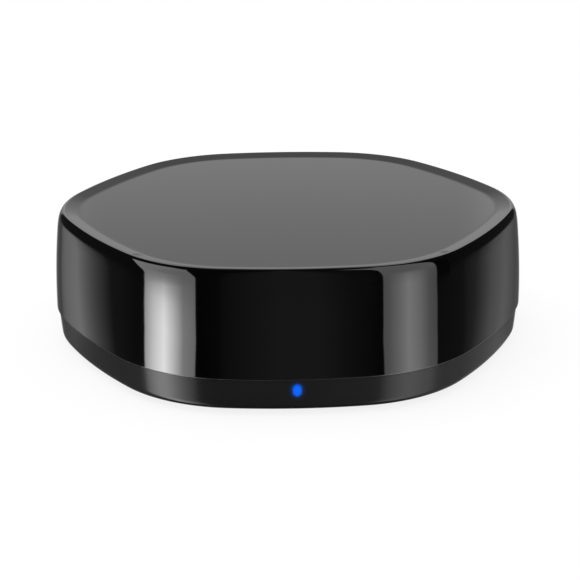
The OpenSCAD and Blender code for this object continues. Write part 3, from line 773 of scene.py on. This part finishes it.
def blue_light():
    """The lit light pipe, brightest in its middle."""
    material, graph = finish("blue_light")
    across = graph.length(graph.place(PIPE_MIDDLE, stretch=CORE_STRETCH))
    core = 1 - graph.step(across, *CORE_FADE)
    cloud = graph.noise(graph.place(), scale=1500, detail=2)
    close(graph, Specular_IOR_Level=0.1, Emission_Strength=1.0,
          Base_Color=graph.blend(cloud, colour(0, 0.004, 0.02), colour(0, 0.006, 0.03)),
          Roughness=0.4 + cloud * 0.1,
          Emission_Color=graph.blend(core, colour(0, 0.045, 0.3), colour(0, 0.13, 1)))
    return material


def moulded(name, dark, light, roughness, scale=2400, height=0.00002):
    """Plastic, ceramic or epoxy: a fine grain and a slow change of shade."""
    material, graph = finish(name)
    place = graph.place()
    grain = graph.noise(place, scale, detail=3)
    cloud = graph.noise(place, scale / 14, detail=2)
    close(graph,
          Base_Color=graph.blend(cloud, colour(*dark), colour(*light)),
          Roughness=roughness + grain * 0.12,
          Normal=graph.bump(grain, strength=0.3, distance=height))
    return material


def metal(name, dark, light, roughness, along=(1, 1, 1), scale=1800):
    """Metal with fine marks, long in the direction whose stretch is small."""
    material, graph = finish(name)
    marks = graph.noise(graph.place(stretch=along), scale, detail=3)
    cloud = graph.noise(graph.place(), scale / 8, detail=2)
    close(graph, Metallic=1.0,
          Base_Color=graph.blend(cloud, colour(*dark), colour(*light)),
          Roughness=roughness + marks * 0.16,
          Normal=graph.bump(marks, strength=0.2, distance=0.00001))
    return material


def board(name, dark, light):
    """A circuit board: solder mask over paler tracks."""
    material, graph = finish(name)
    place = graph.place()
    tracks = graph.add("TexBrick", {"offset": 0.37, "squash": 0.6},
                       {"Vector": place, "Scale": 420, "Mortar Size": 0.03, "Brick Width": 1.7,
                        "Row Height": 0.45, "Color1": colour(0, 0, 0), "Color2": colour(0.1, 0.1, 0.1),
                        "Mortar": colour(1, 1, 1)})
    weave = graph.noise(place, scale=3000, detail=2)
    close(graph,
          Base_Color=graph.blend(tracks, colour(*dark), colour(*light)),
          Roughness=0.32 + weave * 0.12,
          Normal=graph.bump(tracks + weave * 0.3, strength=0.3, distance=0.00002))
    return material


def clear_epoxy():
    material, graph = finish("clear_epoxy")
    cloud = graph.noise(graph.place(), scale=900, detail=2)
    close(graph, Transmission_Weight=0.85, IOR=1.52,
          Base_Color=graph.blend(cloud, colour(0.62, 0.68, 0.85), colour(0.7, 0.75, 0.9)),
          Roughness=0.06 + cloud * 0.05,
          Normal=graph.bump(cloud, strength=0.1, distance=0.00001))
    return material


def dress_inside():
    """Gives every CAD node that stays its finish, and hands on the plated metal."""
    tinned = metal("tinned", (0.6, 0.6, 0.6), (0.75, 0.75, 0.74), 0.22)
    epoxy = moulded("chip_epoxy", (0.012, 0.012, 0.013), (0.024, 0.024, 0.024), 0.5)
    plated = metal("plated", (0.5, 0.51, 0.53), (0.68, 0.69, 0.7), 0.2, (1, 0.1, 1))
    finishes = {
        metal("zinc", (0.45, 0.46, 0.48), (0.62, 0.63, 0.65), 0.28): ["case_screws"],
        board("green_mask", (0.006, 0.075, 0.03), (0.03, 0.19, 0.09)): ["main_board"],
        board("blue_mask", (0.006, 0.03, 0.11), (0.03, 0.09, 0.24)): ["wifi_board"],
        epoxy: ["wifi_chip", "wifi_flash", "regulator", "driver_transistors", "input_diode"],
        metal("can_steel", (0.55, 0.54, 0.5), (0.7, 0.69, 0.65), 0.18): ["wifi_crystal"],
        metal("copper", (0.6, 0.28, 0.13), (0.8, 0.42, 0.22), 0.25): ["wifi_antenna"],
        tinned: ["emitter_leads", "receiver_leads", "regulator_leads", "transistor_leads",
                 "switch_terminals"],
        moulded("dark_epoxy", (0.006, 0.004, 0.006), (0.012, 0.007, 0.01), 0.1, 900): ["ir_receiver"],
        plated: ["switch_cover"],
        moulded("insulator", (0.01, 0.01, 0.011), (0.02, 0.02, 0.02), 0.4): ["usb_insulator"],
        metal("gold", (0.7, 0.46, 0.16), (0.88, 0.62, 0.27), 0.15): ["usb_contacts"],
        moulded("switch_plastic", (0.012, 0.012, 0.013), (0.022, 0.022, 0.023), 0.45): ["switch_housing"],
        moulded("white_plastic", (0.66, 0.65, 0.6), (0.78, 0.77, 0.73), 0.4): ["switch_plunger"],
        metal("spring", (0.55, 0.54, 0.52), (0.7, 0.69, 0.67), 0.2, (0.2, 1, 1)): ["switch_dome"],
        moulded("led_white", (0.7, 0.7, 0.66), (0.82, 0.82, 0.8), 0.25, 1200): ["status_led"],
        metal("aluminium", (0.62, 0.63, 0.65), (0.8, 0.81, 0.82), 0.25, (1, 1, 0.1)): ["capacitor_can"],
        moulded("can_base", (0.015, 0.015, 0.016), (0.028, 0.028, 0.028), 0.5): ["capacitor_base"],
        moulded("resistor", (0.02, 0.02, 0.022), (0.05, 0.05, 0.052), 0.3): ["emitter_resistors"],
        moulded("capacitor", (0.3, 0.19, 0.1), (0.42, 0.28, 0.16), 0.35): ["chip_capacitors"],
        metal("solder", (0.55, 0.56, 0.57), (0.72, 0.73, 0.74), 0.3, scale=1200): ["solder_joints"],
        clear_epoxy(): ["ir_emitter_up"] + [f"ir_emitter_{number}" for number in range(1, 7)],
    }
    for material, names in finishes.items():
        for name in names:
            for slot in NODES[name].material_slots:
                slot.material = material
    return plated


# The studio.

# How bright the studio looks in the gloss, by compass bearing in degrees (-90 is the front).
# Low is what the walls show and high is what the rim shows.
LEFT_LOW = [
    (-180, 4.6), (-170, 5.1), (-161, 11.2), (-152, 16.2), (-144, 10.4), (-136, 4.2), (-124, 2.7),
]
LEFT_HIGH = [(-215, 3.1), (-165, 3.1), (-150, 2.7), (-136, 2.45), (-125, 2.3)]
RIGHT_LOW = [(-62, 1.45), (-57, 1.6), (-48, 2.77), (-40, 3.95), (-31, 2.9), (-22, 1.5), (-11, 0.9)]
RIGHT_HIGH = 1.8
DARK_LOW = [
    (-180, 0.05), (-170, 0.05), (-124, 0.012), (-110, 0.035), (-101, 0.11), (-92, 0.187),
    (-83, 0.187), (-73, 0.07), (-60, 0.015), (-11, 0.06), (0, 0.06),
]
DARK_HIGH = [
    (-180, 0.04), (-124, 0.015), (-110, 0.03), (-100, 0.12), (-92, 0.17), (-83, 0.17), (-75, 0.08),
    (-62, 0.03), (0, 0.02),
]
REAR_LOW = [
    (0, 0.06), (16, 0.06), (26, 0.12), (35, 0.4), (43, 0.45), (52, 0.2), (67, 0.15), (71, 0.6),
    (75, 0.25), (80, 0.3), (98, 0.3), (102, 0.2), (106, 0.6), (110, 0.15), (126, 0.17), (133, 0.55),
    (141, 0.92), (150, 0.42), (158, 0.07), (180, 0.05),
]
# How bright the backdrop looks, by elevation in degrees.
BACKDROP = [
    (-30, 0.25), (-12, 0.27), (-5, 0.38), (0, 0.52), (5, 0.64), (10, 0.78), (13, 0.72), (16, 0.68),
    (20, 0.66), (26, 0.5), (34, 0.5), (42, 0.62), (52, 0.66), (60, 0.6), (66, 0.08), (90, 0.05),
]
# The same for the two brighter panels on either side of its middle.
BACK_PANELS = [
    (-30, 0.25), (-12, 0.27), (-5, 0.38), (0, 0.52), (5, 0.64), (10, 0.85), (16, 1.07), (24, 1.4),
    (31, 1.75), (38, 2.05), (58, 2.1), (62, 0.1), (90, 0.05),
]
# What the base band shows, lower still.
BAND_FRONT = [
    (-180, 0.35), (-177.5, 0.35), (-175.5, 4.5), (-170, 6.6), (-163, 10.5), (-155, 10.8), (-147, 7),
    (-139.5, 4), (-133, 2.3), (-130.5, 1.7), (-129, 0.1), (-110, 0.12), (-98, 0.13), (-90, 0.15),
    (-84, 0.17), (-78.6, 0.27), (-72, 0.37), (-65, 0.45), (-59.5, 0.5), (-57, 1.6), (-52, 2.7),
    (-46, 3.5), (-38.6, 4.5), (-31.5, 4.3), (-24, 3.3), (-16, 2.5), (-10.5, 1.9), (-8, 1), (0, 0.75),
]
BAND_REAR = [
    (0, 0.72), (11, 0.6), (23, 0.42), (29.5, 0.38), (45, 0.45), (60, 0.45), (80, 0.3), (100, 0.3),
    (130, 0.2), (144, 0.2), (156, 0.22), (162, 0.28), (172, 0.34), (180, 0.35),
]
# How much of the high brightness the left softbox has, by elevation.
LEFT_SHARE = [
    (-15, 0), (-12.4, 0.08), (-10.9, 0.18), (-10.2, 0.28), (-9, 0.47), (-8, 0.57), (-6, 0.68),
    (-2, 0.81), (2, 0.9), (14, 1),
]
# What matt surfaces see, in all directions.
SOFT_WHITE = 0.75

# Where one profile gives way to another: by elevation, or by bearing for the backdrop's edges.
FRONT_FADE = (-12.3, -5.8)
REAR_FADE = (-7.5, -2)
RIGHT_FADE = (-10, 26)
LEFT_PANEL_FADE = (95.5, 99)
RIGHT_PANEL_FADE = (78, 81.5)
BACKDROP_START = (60, 64)
BACKDROP_END = (113, 118)
BEHIND_DARK = 0.04
# The backdrop gets wider above an elevation, by this much for each degree.
WIDEN_FROM = 25
WIDEN_RATE = 0.6
# How far below the horizon the band's profiles begin, and where the floor's darkness ends.
BAND_FADE = (22.3, 24.5)
UNDER_FADE = (-70, -50)
UNDER_DARK = 0.95

# The softboxes' edges, in degrees. They lean and bend as the elevation climbs, and both boxes
# move apart below an elevation.
LEFT_START = -170.2
LEFT_START_LEAN = 0.6
LEFT_START_BEND = 0.0003
LEFT_START_SOFT = 0.9
LEFT_END = -126.2
LEFT_END_BEND = 0.0088
LEFT_TOP = 52
LEFT_TOP_SOFT = 1.5
LEFT_CORNER = -170
LEFT_CORNER_LEAN = 0.6
RIGHT_START = -60.4
RIGHT_START_BEND = 0.001
RIGHT_END = -14.2
RIGHT_END_BEND = 0.0055
RIGHT_END_SOFT = 0.5
RIGHT_TOP = (74, 78)
SHARP = 0.4
APART_BELOW = -16
APART_RATE = 0.3


def left_softbox(graph, turned, height):
    """How much of the left softbox shows in a direction, and how bright it is there."""
    climb = graph.above(height)
    moved = turned + graph.above(APART_BELOW - height) * APART_RATE
    start = moved - LEFT_START + climb * LEFT_START_LEAN + climb ** 3 * LEFT_START_BEND
    end = moved - LEFT_END + climb ** 2 * LEFT_END_BEND
    top = height - LEFT_TOP + graph.above(LEFT_CORNER - turned) * LEFT_CORNER_LEAN
    mask = graph.edge(start, LEFT_START_SOFT) * (1 - graph.edge(end, SHARP))
    mask = mask * (1 - graph.edge(top, LEFT_TOP_SOFT))
    level = mix(graph.profile(height, LEFT_SHARE), graph.profile(moved, LEFT_LOW),
                graph.profile(turned, LEFT_HIGH))
    return mask, level


def right_softbox(graph, bearing, height):
    """The same for the right softbox."""
    climb = graph.above(height)
    moved = bearing - graph.above(APART_BELOW - height) * APART_RATE
    start = moved - RIGHT_START - climb ** 2 * RIGHT_START_BEND
    end = moved - RIGHT_END - climb ** 2 * RIGHT_END_BEND
    mask = graph.edge(start, SHARP) * (1 - graph.edge(end, RIGHT_END_SOFT))
    mask = mask * (1 - graph.step(height, *RIGHT_TOP))
    level = mix(graph.step(height, *RIGHT_FADE), graph.profile(moved, RIGHT_LOW), RIGHT_HIGH)
    return mask, level


def front_room(graph, bearing, height):
    """The dark room in front of the hub."""
    return mix(graph.step(height, *FRONT_FADE), graph.profile(bearing, DARK_LOW),
               graph.profile(bearing, DARK_HIGH))


def rear_room(graph, bearing, height):
    """The room behind the hub: a pale backdrop with a brighter panel on each side."""
    aside = graph.step(bearing, *LEFT_PANEL_FADE) + 1 - graph.step(bearing, *RIGHT_PANEL_FADE)
    pale = mix(aside, graph.profile(height, BACKDROP), graph.profile(height, BACK_PANELS))
    wider = graph.above(height, WIDEN_FROM) * WIDEN_RATE
    behind = (graph.step(bearing + wider, *BACKDROP_START)
              * (1 - graph.step(bearing - wider, *BACKDROP_END)))
    return mix(graph.step(height, *REAR_FADE), graph.profile(bearing, REAR_LOW),
               mix(behind, BEHIND_DARK, pale))


def studio():
    """What the gloss sees: a pale backdrop behind, a tall softbox on each side, dark in front."""
    world = bpy.data.worlds.new("studio")
    bpy.context.scene.world = world
    world.cycles.sampling_method = "NONE"
    graph = Graph(world)
    x, y, z = graph.parts(graph.add("TexCoord", output="Generated"))
    bearing = graph.maths("ARCTAN2", y, x) * DEGREES
    height = graph.maths("ARCSINE", z) * DEGREES
    rear = graph.maths("GREATER_THAN", y, 0)
    turned = bearing - rear * 360

    seen = mix(rear, front_room(graph, bearing, height), rear_room(graph, bearing, height))
    left_mask, left_level = left_softbox(graph, turned, height)
    right_mask, right_level = right_softbox(graph, bearing, height)
    seen = mix(left_mask, seen, left_level)
    seen = mix(right_mask, seen, right_level)
    band = mix(rear, graph.profile(bearing, BAND_FRONT), graph.profile(bearing, BAND_REAR))
    seen = mix(graph.step(-1 * height, *BAND_FADE), seen, band)
    seen = seen * (1 - UNDER_DARK * (1 - graph.step(height, *UNDER_FADE)))

    shiny = graph.maths("MAXIMUM", graph.ray("Glossy"), graph.ray("Transmission"))
    level = mix(graph.ray("Camera"), mix(shiny, SOFT_WHITE, seen), 1)
    grey = graph.add("CombineColor", {}, {"Red": level, "Green": level, "Blue": level})
    sky = graph.add("Background", {}, {"Color": grey, "Strength": 1.0})
    graph.add("OutputWorld", {}, {"Surface": sky})


# The floor, the lamp and the camera. The camera's figures come from the fit to the photo.

FLOOR_SIZE = 6
FLOOR_WHITE = 0.85
LAMP_SIZE = 0.9
LAMP_POWER = 4.5
LAMP_PLACE = (-0.15, -0.1, 0.9)
SENSOR_WIDTH = 36
LENS = 91.79
SHIFT_X = 0.00303
SHIFT_Y = -0.04453
CLIP_START = 0.01
CLIP_END = 50
CAMERA_PLACE = (-6.6514, -200.8913, 75.3949)
CAMERA_TARGET = (0, 0, 9.8)
CAMERA_ROLL = -0.006


def floor():
    """A plain pale floor, which keeps a faint shadow."""
    bpy.ops.object.select_all(action="DESELECT")
    bpy.ops.mesh.primitive_plane_add(size=FLOOR_SIZE)
    ground = bpy.context.object
    ground.name = "floor"
    ground.visible_glossy = False
    material = bpy.data.materials.new("floor_white")
    graph = Graph(material)
    cloud = graph.noise(graph.place(), scale=3, detail=2)
    shade = graph.blend(cloud, colour(0.93, 0.93, 0.93), colour(0.95, 0.95, 0.95))
    paint = graph.add("BsdfDiffuse", {}, {"Color": shade})
    white = graph.add("Emission", {}, {"Color": colour(1, 1, 1), "Strength": 1.0})
    both = graph.add("MixShader", {}, {0: graph.ray("Camera") * FLOOR_WHITE, 1: paint, 2: white})
    graph.add("OutputMaterial", {}, {"Surface": both})
    ground.data.materials.append(material)


def lamp():
    """One large soft lamp overhead. The gloss sees the studio instead."""
    data = bpy.data.lights.new("overhead", "AREA")
    data.shape = "DISK"
    data.size = LAMP_SIZE
    data.energy = LAMP_POWER
    light = bpy.data.objects.new("overhead", data)
    light.location = LAMP_PLACE
    light.rotation_euler = (Vector((0, 0, 0)) - light.location).to_track_quat("-Z", "Y").to_euler()
    light.visible_glossy = False
    bpy.context.scene.collection.objects.link(light)


def camera():
    """The photo's view: a little left of the front, from above."""
    data = bpy.data.cameras.new("camera")
    data.sensor_width = SENSOR_WIDTH
    data.lens = LENS
    data.shift_x = SHIFT_X
    data.shift_y = SHIFT_Y
    data.clip_start = CLIP_START
    data.clip_end = CLIP_END
    view = bpy.data.objects.new("camera", data)
    view.location = in_metres(*CAMERA_PLACE)
    line = Vector(in_metres(*CAMERA_TARGET)) - view.location
    turned = line.to_track_quat("-Z", "Y").to_matrix() @ Matrix.Rotation(CAMERA_ROLL, 3, "Z")
    view.rotation_euler = turned.to_euler()
    bpy.context.scene.collection.objects.link(view)
    bpy.context.scene.camera = view


def place_piece(piece, material, node, body="root"):
    """Gives a new piece its finish and its place in the model."""
    piece.data.materials.clear()
    piece.data.materials.append(material)
    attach(piece, body)
    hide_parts(node)


bpy.context.scene.view_settings.view_transform = "Standard"
camera()
studio()
floor()
lamp()

plated_metal = dress_inside()
place_piece(top_case(), gloss_black(), "top_shell")
place_piece(base_case(), satin_black(), "bottom_shell")
place_piece(foot(), rubber(), "foot_ring")
place_piece(light_guide(), blue_light(), "light_pipe")
place_piece(button_cap(), moulded("button_plastic", (0.012, 0.012, 0.013), (0.02, 0.02, 0.021), 0.35),
            "reset_button", "reset_button")
place_piece(socket_sheet(), plated_metal, "usb_socket_shell")
